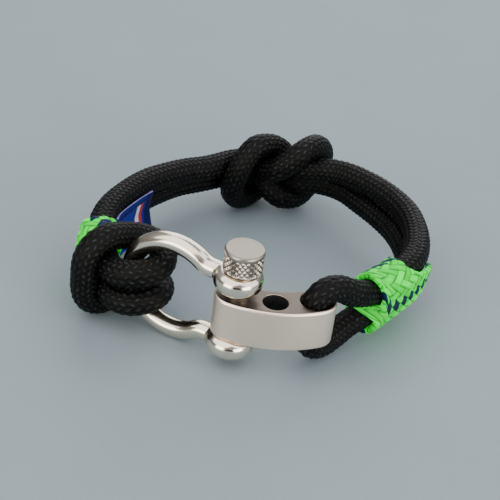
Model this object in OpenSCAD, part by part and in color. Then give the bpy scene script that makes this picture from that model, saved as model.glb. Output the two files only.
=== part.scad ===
/* [Cord] */
// Diameter of the braided cord
cord_d = 5; // [4.6:0.1:5]
// Share of its diameter that the cord keeps where the knot squeezes it
knot_squeeze = 0.92; // [0.9:0.01:0.93]
// Share of its diameter that the cord keeps where the hitch squeezes it
hitch_squeeze = 0.88; // [0.84:0.01:0.9]
// Share of its diameter that the cord keeps where it bends over the bar
bar_squeeze = 0.88; // [0.84:0.01:0.9]

/* [Whippings] */
// Wall of the braided sleeve that binds two strands together
whipping_wall = 1.1; // [0.8:0.1:1.3]
// Clearance between the sleeve and the strands inside it
whipping_gap = 0.2; // [0.15:0.05:0.25]

/* [Adjuster bar] */
// Height of the bar, along its holes
bar_height = 7.9; // [7.5:0.1:8]
// Thickness of the bar, across its holes
bar_thickness = 6.8; // [6.4:0.1:7.2]
// Radius of the line through the three hole centres
bar_bend_r = 17.5; // [16:0.5:20]
// Distance between neighbouring holes
hole_pitch = 6.8; // [6.6:0.1:7]
// Diameter of the spare hole in the middle
spare_hole_d = 4.5; // [4:0.25:5]
// Diameter of the hole that takes the cord
cord_hole_d = 5.6; // [5.5:0.1:5.7]

/* [Shackle] */
// Diameter of the bow's round rod
bow_rod_d = 3.5; // [3:0.25:4]
// Radius of the bow's round part, to the middle of the rod
bow_r = 8.8; // [8.6:0.1:9]
// Distance from the pin's axis to the middle of the bow's round part
bow_reach = 12.5; // [12:0.1:13]
// Diameter of the two ears
ear_d = 8.8; // [8.4:0.1:9]
// Thickness of each ear
ear_t = 4; // [3.6:0.1:4.2]
// Diameter of the pin's shaft
pin_d = 4; // [3.5:0.1:4.1]
// Diameter of the knurled knob
knob_d = 7; // [6.5:0.25:7.5]
// Height of the knurled knob
knob_h = 4.3; // [3.8:0.1:4.5]

/* [Label] */
// Thickness of the woven ribbon
label_t = 0.4; // [0.3:0.1:0.4]
// Length that the ribbon hangs below the strand it wraps
label_drop = 3; // [2:0.1:3.1]

/* [Hidden] */

// the pin's axis stands here, measured from the middle of the whole bracelet
pin_axis = [-1.5, -27.7];

// heights above the surface that the bracelet lies on
bar_mid_z = 10.1;
bow_mid_z = bar_mid_z + 0.5;

// fits
bore_clearance = 0.08;
bar_rest_gap = 0.1;
knob_gap = 0.2;
edge_round = 0.5;

// step that keeps the walls of joined shapes from lying in one another
wall_step = 0.05;

cord_r = cord_d / 2;
tube_sides = 10;
ring_step = 2;
butt_gap = 0.4;

// columns of a run of two strands, from its whipping to the knot:
// x, y and height of the pair's middle, lean of the upper strand towards
// the wrist, distance between the strands
LEFT_RUN = [
    [-25.6, 12.2, 9.4, 4, 4.5],
    [-27.2, 18.2, 9.6, 8, 4.9],
    [-26.8, 24.0, 9.8, 12, 5.8],
    [-24.6, 30.3, 9.9, 15, 5.9],
    [-21.8, 35.8, 9.9, 19, 5.8],
    [-18.4, 40.2, 9.8, 23, 5.3],
    [-14.8, 44.1, 9.5, 28, 5.2],
    [-10.9, 47.1, 9.2, 31, 5.2]
];
RIGHT_RUN = [
    [22.7, 10.3, 8.8, -12, 5.3],
    [27.1, 15.8, 9.1, -12, 5.2],
    [30.2, 20.8, 9.4, -9, 5.2],
    [31.5, 26.5, 9.4, -8, 5.2],
    [31.2, 32.9, 9.4, -9, 5.2],
    [29.2, 39.1, 9.5, -12, 5.2],
    [25.6, 44.3, 9.6, -8, 5.2],
    [21.4, 48.5, 9.6, 5, 5.2],
    [17.5, 51.4, 9.6, 20, 5.2]
];

// the knot: its middle, its turn in plan, the lean of its top towards the
// wrist and the rise of its right end; its table runs along one bight from
// a leg to the middle of its loop, in cord diameters: along the bracelet,
// up, and towards the wrist
knot_middle = [4.1, 51.8, 9.5];
knot_turn = 10;
knot_lean = 25;
knot_rise = 8;
KNOT_BIGHT = [
    [-1.75, 0.5, -0.4],
    [-0.95, 0.48, -0.25],
    [-0.5, 0.55, 0.2],
    [0, 0.95, 0.55],
    [0.5, 1.3, 0.42],
    [1.0, 1.5, 0.1],
    [1.6, 0.98, -0.55],
    [1.9, 0, -0.8]
];

// the hitch round the bow: its table runs from the upper leg, round the
// rod and back to the middle of the bight, in millimetres: away from the
// shackle, towards the outside of the bracelet, up or down from the middle
// of the hitch, and that middle's own drop below the middle of the bow
bow_turn = 23;
HITCH = [
    [3.9, 2.0, 2.25, 1.6],
    [0.4, 4.3, 2.65, 1.5],
    [-3.5, 4.2, 2.8, 0.8],
    [-6.1, 0.4, 3.0, 0],
    [-3.6, -4.1, 3.8, 0],
    [1.0, -4.7, 4.7, 0.8],
    [3.6, -2.0, 5.9, 1.4],
    [4.9, 1.0, 6.75, 1.6],
    [5.8, 4.1, 5.5, 1.3],
    [6.3, 5.3, 2.8, 1.1],
    [6.2, 5.4, 0, 1.0]
];

function unit(v) = v / norm(v);
function plan_dir(angle) = [cos(angle), sin(angle), 0];
function reversed(list) = [for (i = [len(list) - 1 : -1 : 0]) list[i]];
function all_but_last(list) = [for (i = [0 : len(list) - 2]) list[i]];

// Catmull-Rom curve from b to c, between its neighbours a and d
function curve_point(a, b, c, d, t) =
    b + 0.5 * t * (c - a + t * (2 * a - 5 * b + 4 * c - d + t * (3 * b - a - 3 * c + d)));

// smooth closed line through the points
function closed_curve(points) =
    let (n = len(points))
    [for (i = [0 : n - 1])
        let (
            a = points[(i + n - 1) % n],
            b = points[i],
            c = points[(i + 1) % n],
            d = points[(i + 2) % n],
            rings = max(1, round(norm(c - b) / ring_step))
        )
        for (k = [0 : rings - 1]) curve_point(a, b, c, d, k / rings)];

// one strand of a run: rank is 1 for the upper strand and -1 for the lower,
// wrist_hand is 1 where the wrist lies to the left of the run's direction
function run_dir(run, i) =
    let (step = run[min(i + 1, len(run) - 1)] - run[max(i - 1, 0)])
    unit([step[0], step[1], 0]);
function strand(run, rank, wrist_hand) = [
    for (i = [0 : len(run) - 1])
        let (
            row = run[i],
            dir = run_dir(run, i),
            inward = wrist_hand * [-dir[1], dir[0], 0],
            offset = cos(row[3]) * [0, 0, 1] + sin(row[3]) * inward
        )
        [row[0], row[1], row[2]] + rank * row[4] / 2 * offset
];

// the knot's rows as points; side is 1 for the left cord, -1 for the right,
// rank is 1 for the upper half of the bight and -1 for the lower
function knot_point(row, side, rank) =
    let (
        level = plan_dir(knot_turn),
        wristward = plan_dir(knot_turn - 90),
        steep = cos(knot_lean) * [0, 0, 1] + sin(knot_lean) * wristward,
        face = cos(knot_lean) * wristward - sin(knot_lean) * [0, 0, 1],
        along = cos(knot_rise) * level + sin(knot_rise) * steep,
        up = cos(knot_rise) * steep - sin(knot_rise) * level
    )
    knot_middle + cord_d * (side * row[0] * along + rank * row[1] * up + side * row[2] * face);
function knot_bight(side) = concat(
    [for (row = KNOT_BIGHT) knot_point(row, side, 1)],
    [for (row = reversed(all_but_last(KNOT_BIGHT))) knot_point(row, side, -1)]
);

// the hitch's rows as points
bow_dir = plan_dir(180 - bow_turn);
bow_crown = [0, 0, bow_mid_z] + (bow_reach + bow_r) * bow_dir;
function hitch_point(row, rank) =
    bow_crown + row[0] * bow_dir + row[1] * plan_dir(270 - bow_turn) + [0, 0, rank * row[2] - row[3]];
hitch_upper = [for (row = HITCH) hitch_point(row, 1)];
hitch_lower = [for (row = all_but_last(HITCH)) hitch_point(row, -1)];

// the bar's holes lie on an arc about this point
pitch_angle = 2 * asin(hole_pitch / 2 / bar_bend_r);
bar_turn = 6;
bar_bend_mid = -bar_bend_r * plan_dir(bar_turn - 90 - pitch_angle);
function hole_place(i) = bar_bend_mid + bar_bend_r * plan_dir(bar_turn - 90 + (i - 1) * pitch_angle);
cord_hole = hole_place(2);

// the spare hole stands a little nearer the pin than half way
spare_hole = hole_place(0.94);

// the loop through the bar, from the upper strand down to the lower,
// measured from the cord hole in plan and from the surface in height
BAR_LOOP = [
    [6.0, 4.4, 13.1],
    [4.6, 3.3, 15.4],
    [2.4, 1.7, 16.5],
    [0.5, 0.3, 15.8],
    [-0.1, -0.1, 13.8],
    [-0.1, -0.1, 9.8],
    [-0.1, -0.1, 6.4],
    [0.2, 0.4, 4.4],
    [1.6, 2.2, 3.1],
    [3.7, 4.7, 3.1],
    [6.6, 7.7, 4.6]
];
bar_loop = [for (row = BAR_LOOP) cord_hole + row];

left_upper = strand(LEFT_RUN, 1, -1);
left_lower = strand(LEFT_RUN, -1, -1);
right_upper = strand(RIGHT_RUN, 1, 1);
right_lower = strand(RIGHT_RUN, -1, 1);

// each cord is one closed loop, cut where its ends butt inside its whipping
left_loop = concat(
    left_upper,
    knot_bight(1),
    reversed(left_lower),
    hitch_lower,
    reversed(hitch_upper)
);
right_loop = concat(
    right_upper,
    knot_bight(-1),
    reversed(right_lower),
    reversed(bar_loop)
);

// the cord's radius, less where the knot, the hitch or the bar squeezes it
knot_reach = 12;
hitch_middle = hitch_point([1, 0, 0, 1], 1);
hitch_reach = 9;
bend_middle = cord_hole + [1.5, 1.1, bar_mid_z + bar_height / 2];
bend_reach = 3;
squeeze_fade = 4;
function grip(p, middle, reach) = 1 - min(1, max(0, (norm(p - middle) - reach) / squeeze_fade));
function cord_radius(p) =
    let (
        knot_loss = (1 - knot_squeeze) * grip(p, knot_middle, knot_reach),
        hitch_loss = (1 - hitch_squeeze) * grip(p, hitch_middle, hitch_reach),
        bar_loss = (1 - bar_squeeze) * grip(p, bend_middle, bend_reach)
    )
    cord_r * (1 - knot_loss - hitch_loss - bar_loss);

function next_normal(normal, tangent) = unit(normal - (normal * tangent) * tangent);

// tube along a line of points, closed by a flat face at each end
module tube(line) {
    n = len(line);
    tangents = [for (i = [0 : n - 1]) unit(line[min(i + 1, n - 1)] - line[max(i - 1, 0)])];
    normals = [
        for (
            i = 0, normal = next_normal([0, 0, 1], tangents[0]);
            i < n;
            i = i + 1, normal = next_normal(normal, tangents[min(i, n - 1)])
        ) normal
    ];
    rim = [
        for (i = [0 : n - 1])
            let (sideways = cross(tangents[i], normals[i]), r = cord_radius(line[i]))
            for (k = [0 : tube_sides - 1])
                let (a = 360 * k / tube_sides)
                line[i] + r * (cos(a) * normals[i] + sin(a) * sideways)
    ];
    sides = [
        for (i = [0 : n - 2], k = [0 : tube_sides - 1])
            let (m = (k + 1) % tube_sides, base = i * tube_sides)
            [base + m, base + k, base + k + tube_sides, base + m + tube_sides]
    ];
    start = [for (k = [0 : tube_sides - 1]) k];
    end = [for (k = [tube_sides - 1 : -1 : 0]) (n - 1) * tube_sides + k];
    polyhedron(points = rim, faces = concat(sides, [start, end]), convexity = 10);
}

// cord through a closed list of points, cut at the first of them
module cord(points) {
    line = closed_curve(points);
    last = line[len(line) - 1];
    tube(concat(line, [line[0] - butt_gap * unit(line[0] - last)]));
}

// point on the curve through a list of points, counted in spans from its start
function curve_at(points, spans) =
    let (n = len(points), i = min(n - 2, max(0, floor(spans))))
    curve_point(points[max(i - 1, 0)], points[i], points[i + 1], points[min(i + 2, n - 1)], spans - i);

// section of a pair of strands: middle, half of the rise from the lower
// strand to the upper, and the direction to the right of one who looks
// along the run
function pair_section(upper, lower, spans) =
    let (
        top = curve_at(upper, spans),
        bottom = curve_at(lower, spans),
        run = curve_at(upper, spans + 0.1) + curve_at(lower, spans + 0.1) - top - bottom,
        rise = (top - bottom) / 2,
        dir = unit(run),
        upright = rise - (rise * dir) * dir
    )
    [(top + bottom) / 2, upright, unit(cross(dir, upright))];

// outline round two strands: distance sideways, strand that the point
// belongs to, and height above that strand's middle
sleeve_steps = 8;
function pair_outline(r) = [
    for (end = [0, 1], k = [0 : sleeve_steps])
        let (a = 180 * k / sleeve_steps + 180 * end)
        [r * cos(a), end == 0 ? 1 : -1, r * sin(a)]
];

// braided sleeve round two strands, from one place to another, counted in
// spans of their lists; the skew of each end says how many spans it gains
// from the bottom to the top and from the left side to the right
rings_per_span = 4;
module sleeve(upper, lower, from, to, near_skew, far_skew) {
    n = 1 + ceil((to - from) * rings_per_span);
    inner_r = cord_r + whipping_gap;
    count = 2 * (sleeve_steps + 1);
    walls = [
        for (wall = [0, whipping_wall], i = [0 : n - 1], p = pair_outline(inner_r + wall))
            let (
                share = i / (n - 1),
                skew = max(0, 1 - 2 * share) * near_skew + max(0, 2 * share - 1) * far_skew,
                height_share = (p[1] * cord_r + p[2]) / (2 * cord_d),
                side_share = p[0] / cord_d,
                spans = from + share * (to - from) + skew[0] * height_share + skew[1] * side_share,
                section = pair_section(upper, lower, spans)
            )
            section[0] + p[1] * section[1] + p[2] * unit(section[1]) + p[0] * section[2]
    ];
    polyhedron(points = walls, faces = shell_faces(n, count), convexity = 10);
}

// faces of a shell with n rings of points inside and as many outside
function shell_faces(n, count) = concat(
    [
        for (wall = [0, 1], i = [0 : n - 2], k = [0 : count - 1])
            let (
                m = (k + 1) % count,
                base = (wall * n + i) * count,
                quad = [base + m, base + k, base + k + count, base + m + count]
            )
            wall == 0 ? quad : reversed(quad)
    ],
    [
        for (end = [0, 1], k = [0 : count - 1])
            let (
                m = (k + 1) % count,
                base = end * (n - 1) * count,
                quad = [base + k, base + m, base + m + n * count, base + k + n * count]
            )
            end == 0 ? quad : reversed(quad)
    ]
);

module cord_left() {
    color("#1c1c1e") placed() cord(left_loop);
}

module cord_right() {
    color("#1c1c1e") placed() cord(right_loop);
}

module whipping_left() {
    color("#5fe04a") placed() sleeve(left_upper, left_lower, 0.15, 1, [0, 0.2], [-0.5, 0]);
}

module whipping_right() {
    color("#5fe04a") placed() sleeve(right_upper, right_lower, 0, 2, [0, 0], [-1.4, 0.1]);
}

// section of the bar across its length, with rounded edges
module bar_section(inset) {
    half_t = bar_thickness / 2 - inset;
    half_h = bar_height / 2 - inset;
    for (x = [-1, 1], z = [-1, 1])
        translate([x * (half_t - edge_round), z * (half_h - edge_round)]) circle(edge_round, $fn = 24);
    square([2 * half_t, 2 * (half_h - edge_round)], center = true);
    square([2 * (half_t - edge_round), 2 * half_h], center = true);
}

// lengths by which the bar runs past its first and its last hole before it
// rounds off
pin_end = 0.9;
cord_end = 0.3;
pin_end_angle = asin(pin_end / bar_bend_r);
cord_end_angle = asin(cord_end / bar_bend_r);

module adjuster_bar() {
    start_angle = bar_turn - 90 - pitch_angle - pin_end_angle;
    sweep_angle = 2 * pitch_angle + pin_end_angle + cord_end_angle;
    color("#c9c4bb") placed() translate([0, 0, bar_mid_z]) difference() {
        union() {
            translate(bar_bend_mid) rotate([0, 0, start_angle])
                rotate_extrude(angle = sweep_angle, $fn = 96) translate([bar_bend_r, 0]) bar_section(0);
            for (end = [0, 1])
                translate(bar_bend_mid) rotate([0, 0, start_angle + end * sweep_angle])
                    translate([bar_bend_r, 0, 0])
                        rotate_extrude($fn = 64) intersection() {
                            bar_section(wall_step);
                            translate([0, -bar_height / 2]) square([bar_thickness, bar_height]);
                        }
        }
        translate(hole_place(0)) bore(pin_d + 2 * bore_clearance);
        translate(spare_hole) bore(spare_hole_d);
        translate(cord_hole) bore(cord_hole_d);
    }
}

module bore(d) {
    cylinder(d = d, h = 2 * bar_height, center = true, $fn = 64);
}

// the ears' inner faces leave the bar resting on the lower one
ear_low_z = bar_mid_z - bar_height / 2 - bar_rest_gap - ear_t;
ear_high_z = 2 * bow_mid_z - ear_low_z - ear_t;
jaw_low_z = ear_low_z + ear_t;
neck_r = 4;
neck_z = 6.7;
neck_reach = bow_reach - sqrt(pow(bow_r + neck_r, 2) - pow(neck_z + neck_r, 2));
neck_angle = acos((neck_z + neck_r) / (bow_r + neck_r));
ear_round = 1.4;

// the ears' middle stands this far from the pin's axis, towards the bow
ear_shift = 0.5;

module ear() {
    r = ear_d / 2;
    rotate_extrude($fn = 72) {
        square([r - ear_round, ear_t]);
        translate([0, ear_round]) square([r, ear_t - 2 * ear_round]);
        for (z = [ear_round, ear_t - ear_round])
            translate([r - ear_round, z]) circle(ear_round, $fn = 32);
    }
}

module rod_arc(r, from, angle, d) {
    rotate([0, 0, from]) rotate_extrude(angle = angle, $fn = 96) translate([r, 0]) circle(d = d, $fn = 32);
}

// the bow's rod, laid in the plane of x and y
module bow_rod() {
    round_angle = 90 + neck_angle;
    translate([bow_reach, 0, 0]) rod_arc(bow_r, -round_angle, 2 * round_angle, bow_rod_d);
    for (side = [0, 1]) mirror([0, side, 0]) {
        translate([neck_reach, neck_z + neck_r, 0]) rod_arc(neck_r, 270, neck_angle, bow_rod_d + wall_step);
        translate([0, neck_z, 0]) rotate([0, 90, 0]) cylinder(d = bow_rod_d, h = neck_reach, $fn = 32);
    }
}

module shackle_bow() {
    color("#c9c4bb") placed() difference() {
        union() {
            translate([0, 0, bow_mid_z]) rotate([0, 0, 180 - bow_turn]) rotate([90, 0, 0]) bow_rod();
            for (z = [ear_low_z, ear_high_z]) translate(ear_shift * bow_dir + [0, 0, z]) ear();
        }
        translate([0, 0, jaw_low_z]) cylinder(d = ear_d + 2, h = ear_high_z - jaw_low_z, $fn = 72);
        cylinder(d = pin_d + 2 * bore_clearance, h = 2 * ear_high_z, $fn = 64);
    }
}

shaft_low_z = ear_low_z + 0.2;
knob_low_z = ear_high_z + ear_t + knob_gap;
knob_chamfer = 0.35;

module shackle_pin() {
    color("#bdb7ad") placed() rotate_extrude($fn = 96) polygon([
        [0, shaft_low_z],
        [pin_d / 2 - knob_chamfer, shaft_low_z],
        [pin_d / 2, shaft_low_z + knob_chamfer],
        [pin_d / 2, knob_low_z],
        [knob_d / 2 - knob_chamfer, knob_low_z],
        [knob_d / 2, knob_low_z + knob_chamfer],
        [knob_d / 2, knob_low_z + knob_h - knob_chamfer],
        [knob_d / 2 - knob_chamfer, knob_low_z + knob_h],
        [0, knob_low_z + knob_h]
    ]);
}

// folded ribbon round the lower left strand, hanging flat on its wrist side
label_from = 1.7;
label_to = 4.3;
label_rings = 8;
label_steps = 10;
label_gap = 0.25;
label_bulge = 0.5;
function label_outline(r, drop) = [
    for (k = [0 : label_steps])
        let (a = 225 * k / label_steps, reach = r + (a < 60 ? label_bulge * sin(3 * a) : 0))
        [reach * cos(a), reach * sin(a)],
    [r - 3 * label_t, -r - drop],
    [r, -r - drop]
];

module woven_label() {
    walls = [
        for (wall = [0, 1], i = [0 : label_rings])
            let (
                spans = label_from + (label_to - label_from) * i / label_rings,
                middle = curve_at(left_lower, spans),
                dir = unit(curve_at(left_lower, spans + 0.1) - middle),
                sideways = unit(cross(dir, [0, 0, 1])),
                up = cross(sideways, dir),
                r = cord_r + label_gap + wall * label_t
            )
            for (p = label_outline(r, label_drop + wall * label_t)) middle + p[0] * sideways + p[1] * up
    ];
    faces = shell_faces(label_rings + 1, label_steps + 3);
    color("#2146c8") placed() polyhedron(points = walls, faces = faces, convexity = 10);
}

// moves a piece from the pin's own frame into the bracelet's
module placed() {
    translate([pin_axis[0], pin_axis[1], 0]) children();
}

cord_left();
cord_right();
whipping_left();
whipping_right();
adjuster_bar();
shackle_bow();
shackle_pin();
woven_label();
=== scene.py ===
import math

import bmesh
import bpy
import numpy as np
from mathutils import Matrix, Vector


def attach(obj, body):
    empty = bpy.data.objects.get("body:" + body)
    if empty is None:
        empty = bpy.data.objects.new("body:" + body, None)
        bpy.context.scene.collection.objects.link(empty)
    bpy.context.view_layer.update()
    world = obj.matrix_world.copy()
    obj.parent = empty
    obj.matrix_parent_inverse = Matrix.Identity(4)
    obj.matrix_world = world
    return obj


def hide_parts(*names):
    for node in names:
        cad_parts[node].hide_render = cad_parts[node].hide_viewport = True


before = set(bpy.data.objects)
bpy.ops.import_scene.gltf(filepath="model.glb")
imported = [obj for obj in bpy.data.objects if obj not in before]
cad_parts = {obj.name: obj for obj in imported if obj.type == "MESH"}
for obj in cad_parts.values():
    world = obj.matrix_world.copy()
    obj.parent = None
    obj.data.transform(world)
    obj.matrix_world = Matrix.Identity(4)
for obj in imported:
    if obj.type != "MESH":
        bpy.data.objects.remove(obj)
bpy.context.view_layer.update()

MM, UPRIGHT = 0.001, np.array([0, 0, 1.0])

# Sizes are in millimetres. PIN_AXIS is where the pin stands in the part's frame. Every other place is
# measured from the pin's axis, and its height from the surface that the bracelet lies on.
PIN_AXIS = np.array([-1.5, -27.7, 0.0])
BAR_MID_Z, BOW_MID_Z = 10.1, 10.6
CORD_D = 5.0
# What the cord keeps of its diameter in the knot and over the bar, and how far each squeeze reaches.
KNOT_SQUEEZE, KNOT_REACH = 0.97, 12
BAR_SQUEEZE, BEND_REACH = 0.97, 3
SQUEEZE_FADE = 4
SLEEVE_WALL, SLEEVE_GAP = 1.1, 0.2

# Columns: x, y and height of the pair's middle, lean of the upper strand, distance between the strands.
LEFT_RUN = np.array([
    [-25.6, 12.2, 9.4, 4, 4.5],
    [-27.2, 18.2, 9.6, 8, 4.9],
    [-26.8, 24.0, 9.8, 12, 5.8],
    [-24.6, 30.3, 9.9, 15, 5.9],
    [-21.8, 35.8, 9.9, 19, 5.8],
    [-18.4, 40.2, 9.8, 23, 5.3],
    [-14.8, 44.1, 9.5, 28, 5.2],
    [-10.9, 47.1, 9.2, 31, 5.2],
])
RIGHT_RUN = np.array([
    [22.7, 10.3, 8.7, -12, 6.0],
    [27.1, 15.8, 9.1, -12, 5.2],
    [30.2, 20.8, 9.4, -9, 5.2],
    [31.5, 26.5, 9.4, -8, 5.2],
    [31.2, 32.9, 9.4, -9, 5.2],
    [29.2, 39.1, 9.5, -12, 5.2],
    [25.6, 44.3, 9.6, -8, 5.2],
    [21.4, 48.5, 9.6, 5, 5.2],
    [17.5, 51.4, 9.6, 20, 5.2],
])

# The knot's middle, and its turn, lean and rise in degrees.
KNOT_MIDDLE = np.array([4.1, 51.8, 9.5])
KNOT_TURN, KNOT_LEAN, KNOT_RISE = 10, 25, 8
# Columns, in cord diameters: along the bracelet, up, towards the wrist.
KNOT_BIGHT = [
    [-1.75, 0.48, -0.28],
    [-0.95, 0.47, -0.2],
    [-0.5, 0.55, 0.2],
    [0, 0.95, 0.55],
    [0.5, 1.3, 0.42],
    [1.0, 1.5, 0.1],
    [1.6, 0.98, -0.55],
    [1.9, 0, -0.8],
]

# Turn of the bow about the pin, distance to the middle of its round part, radius of that part.
BOW_TURN, BOW_REACH, BOW_R = 23, 12.5, 8.8
# Columns: away from the shackle, outward, up or down from the hitch's middle, drop of that middle.
HITCH = [
    [3.9, 2.0, 2.25, 1.6],
    [0.4, 4.2, 2.75, 1.35],
    [-3.5, 4.0, 2.95, 0.6],
    [-5.9, 0.4, 3.05, 0],
    [-3.6, -4.1, 3.8, 0],
    [1.0, -4.7, 4.7, 0.8],
    [3.6, -2.0, 5.9, 1.4],
    [4.9, 1.0, 6.75, 1.6],
    [5.8, 4.1, 5.5, 1.3],
    [6.3, 5.3, 2.8, 1.1],
    [6.2, 5.4, 0, 1.0],
]

# Radius of the line through the bar's holes, distance between them, and turn of the bar in degrees.
BAR_BEND_R, HOLE_PITCH, BAR_TURN = 17.5, 6.8, 6
# The bar's body, and how far it runs past its first and last hole before it is rounded.
BAR_HEIGHT, BAR_THICKNESS, PIN_END, CORD_END = 7.9, 6.8, 0.9, 0.3
# The spare hole's place, counted in holes from the pin's, and the radii of the spare and the cord hole.
SPARE_HOLE, SPARE_R, CORD_HOLE_R = 0.94, 2.25, 2.8
# Columns: x and y from the cord hole, height.
BAR_LOOP = [
    [6.0, 4.4, 13.7],
    [4.5, 3.2, 15.1],
    [2.3, 1.7, 15.8],
    [0.4, 0.2, 15.1],
    [-0.1, -0.1, 13.8],
    [-0.1, -0.1, 9.8],
    [-0.1, -0.1, 6.4],
    [0.2, 0.4, 4.4],
    [1.6, 2.2, 3.1],
    [3.7, 4.7, 3.1],
    [6.6, 7.7, 4.6],
]


def unit(v):
    return v / np.linalg.norm(v)


def plan_dir(angle):
    return np.array([math.cos(math.radians(angle)), math.sin(math.radians(angle)), 0.0])


def curve_point(a, b, c, d, t):
    """Point on the Catmull-Rom curve from b to c, between its neighbours a and d."""
    return b + 0.5 * t * (c - a + t * (2 * a - 5 * b + 4 * c - d + t * (3 * b - a - 3 * c + d)))


def strand(run, rank, wrist_hand):
    """Middle line of the upper strand (rank 1) or the lower one (rank -1) of a run of two."""
    points = []
    for i, row in enumerate(run):
        step = run[min(i + 1, len(run) - 1)] - run[max(i - 1, 0)]
        along = unit(np.array([step[0], step[1], 0.0]))
        inward = wrist_hand * np.array([-along[1], along[0], 0.0])
        lean = math.radians(row[3])
        offset = math.cos(lean) * UPRIGHT + math.sin(lean) * inward
        points.append(row[:3] + rank * row[4] / 2 * offset)
    return points


def knot_point(row, side, rank):
    """Place of a row of the knot's bight: side is 1 for the left cord, rank 1 for the upper strand."""
    lean, rise = math.radians(KNOT_LEAN), math.radians(KNOT_RISE)
    level, wristward = plan_dir(KNOT_TURN), plan_dir(KNOT_TURN - 90)
    steep = math.cos(lean) * UPRIGHT + math.sin(lean) * wristward
    face = math.cos(lean) * wristward - math.sin(lean) * UPRIGHT
    along = math.cos(rise) * level + math.sin(rise) * steep
    up = math.cos(rise) * steep - math.sin(rise) * level
    return KNOT_MIDDLE + CORD_D * (side * row[0] * along + rank * row[1] * up + side * row[2] * face)


def knot_bight(side):
    upper = [knot_point(row, side, 1) for row in KNOT_BIGHT]
    lower = [knot_point(row, side, -1) for row in KNOT_BIGHT[:-1]]
    return upper + lower[::-1]


BOW_DIR = plan_dir(180 - BOW_TURN)
BOW_CROWN = np.array([0, 0, BOW_MID_Z]) + (BOW_REACH + BOW_R) * BOW_DIR


def hitch_point(row, rank):
    """Place of a row of the hitch, above its middle for rank 1 and below it for rank -1."""
    outward = plan_dir(270 - BOW_TURN)
    return BOW_CROWN + row[0] * BOW_DIR + row[1] * outward + np.array([0, 0, rank * row[2] - row[3]])


HOLE_ANGLE = math.degrees(2 * math.asin(HOLE_PITCH / 2 / BAR_BEND_R))
BAR_BEND_MID = -BAR_BEND_R * plan_dir(BAR_TURN - 90 - HOLE_ANGLE)


def hole_place(i):
    """Middle of a hole of the bar, counted from the pin's."""
    return BAR_BEND_MID + BAR_BEND_R * plan_dir(BAR_TURN - 90 + (i - 1) * HOLE_ANGLE)


BEND_MIDDLE = hole_place(2) + np.array([1.5, 1.1, BAR_MID_Z + BAR_HEIGHT / 2])
LEFT_UPPER, LEFT_LOWER = strand(LEFT_RUN, 1, -1), strand(LEFT_RUN, -1, -1)
RIGHT_UPPER, RIGHT_LOWER = strand(RIGHT_RUN, 1, 1), strand(RIGHT_RUN, -1, 1)
HITCH_UPPER = [hitch_point(row, 1) for row in HITCH]
HITCH_LOWER = [hitch_point(row, -1) for row in HITCH[:-1]]
LEFT_LOOP = LEFT_UPPER + knot_bight(1) + LEFT_LOWER[::-1] + HITCH_LOWER + HITCH_UPPER[::-1]
RIGHT_LOOP = RIGHT_UPPER + knot_bight(-1) + RIGHT_LOWER[::-1] + [hole_place(2) + r for r in BAR_LOOP][::-1]


def units(rows):
    return rows / np.linalg.norm(rows, axis=1)[:, None]


def far_along(line):
    """Distance of each point from the first one, along the line."""
    return np.concatenate([[0], np.cumsum(np.linalg.norm(np.diff(line, axis=0), axis=1))])


def closed_line(points, start_span, step, soften):
    """Even steps along the smooth loop through the points, from start_span and back to it."""
    n, fine = len(points), 60
    dense = []
    for i in range(n):
        near = [points[(i + k) % n] for k in (-1, 0, 1, 2)]
        dense += [curve_point(*near, k / fine) for k in range(fine)]
    dense = np.roll(np.array(dense), -int(round(start_span * fine)), axis=0)
    dense = np.vstack([dense, dense[:1]])
    far = far_along(dense)
    count = int(far[-1] / step)
    even = np.linspace(0, far[-1], count, endpoint=False)
    line = np.stack([np.interp(even, far, dense[:, k]) for k in range(3)], axis=1)
    reach = int(3 * soften / step)
    weights = np.exp(-0.5 * (np.arange(-reach, reach + 1) * step / soften) ** 2)
    weights /= weights.sum()
    line = sum(w * np.roll(line, k, axis=0) for w, k in zip(weights, range(-reach, reach + 1)))
    return np.vstack([line, line[:1]])


def curve_frames(line):
    """Tangents and two cross directions that turn as little as they can along the line."""
    tangents = units(np.gradient(line, axis=0))
    normal = UPRIGHT
    normals = []
    for t in tangents:
        normal = unit(normal - (normal @ t) * t)
        normals.append(normal)
    normals = np.array(normals)
    return tangents, normals, np.cross(tangents, normals)


def grip(points, middle, reach):
    """1 within reach of the middle of a squeeze, and less and less further out."""
    return 1 - np.clip((np.linalg.norm(points - middle, axis=1) - reach) / SQUEEZE_FADE, 0, 1)


def cord_radius(points):
    knot_loss = (1 - KNOT_SQUEEZE) * grip(points, KNOT_MIDDLE, KNOT_REACH)
    bar_loss = (1 - BAR_SQUEEZE) * grip(points, BEND_MIDDLE, BEND_REACH)
    return CORD_D / 2 * (1 - knot_loss - bar_loss)


# Shape of a stitch: half of its width, its arch in half turns, and the heights of its ends, its middle
# and its unevenness.
STITCH_HALF, STITCH_ARCH = 0.54, 0.46
STITCH_LOW, STITCH_RISE, STITCH_UNEVEN = 0.3, 0.62, 0.08


def stitch_noise(a, b):
    """A fixed number from 0 to 1 for each pair of whole numbers."""
    return np.mod(np.sin(a * 12.9898 + b * 78.233) * 43758.5453, 1.0)


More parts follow.
